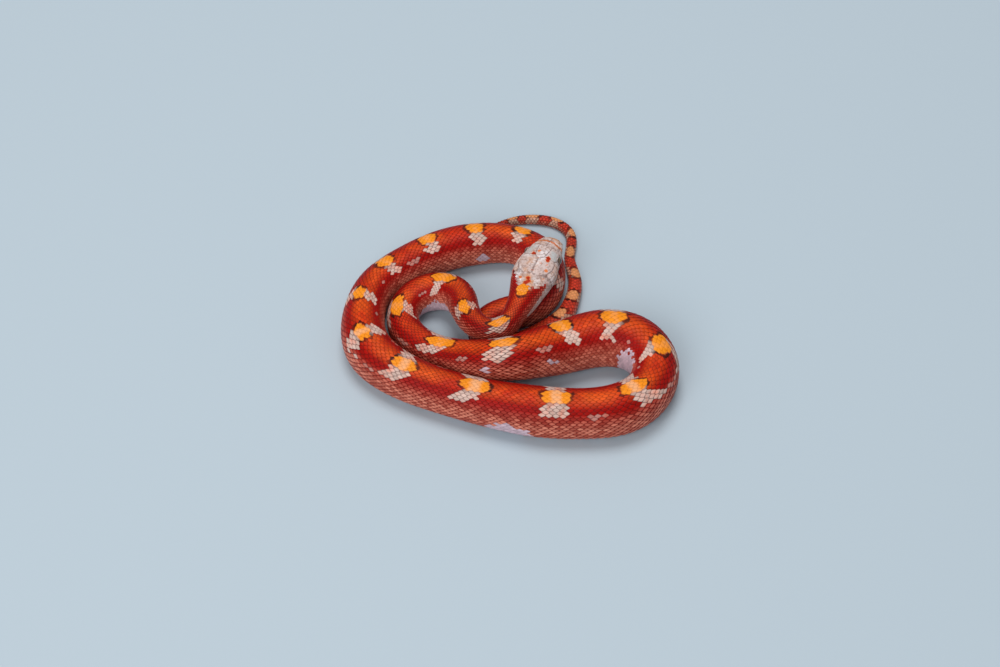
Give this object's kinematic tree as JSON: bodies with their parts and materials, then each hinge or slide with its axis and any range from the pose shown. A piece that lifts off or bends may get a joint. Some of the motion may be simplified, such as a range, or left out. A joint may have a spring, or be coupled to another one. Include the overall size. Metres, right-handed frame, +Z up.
{
  "type": "corn snake",
  "caption": "Young corn snake lying coiled on the floor with its head resting on the coil and its thin tail curled behind, a life-size still model.",
  "frame": {"origin": "on the floor under the middle of the coil's bounding box", "axes": "+X to the right of the view in the picture, +Y away from the viewer, +Z up"},
  "size_m": [0.0994, 0.0891, 0.0192],
  "materials": {
    "head_skin": "satin scales, grey and pale with orange spots",
    "neck_skin": "satin scales, orange red",
    "torso_skin": "satin scales, red with orange saddles",
    "tail_skin": "satin scales, red brown with tan bands",
    "eye": "gloss, dark brown"
  },
  "bodies": {
    "root": {"head": "head_skin", "eye_left": "eye", "eye_right": "eye", "neck": "neck_skin", "torso_1": "torso_skin", "torso_2": "torso_skin", "torso_3": "torso_skin", "torso_4": "torso_skin", "torso_5": "torso_skin", "torso_6": "torso_skin", "torso_7": "torso_skin", "torso_8": "torso_skin", "torso_9": "torso_skin", "torso_10": "torso_skin", "torso_11": "torso_skin", "torso_12": "torso_skin", "tail_1": "tail_skin", "tail_2": "tail_skin", "tail_3": "tail_skin"}
  },
  "joints": []
}
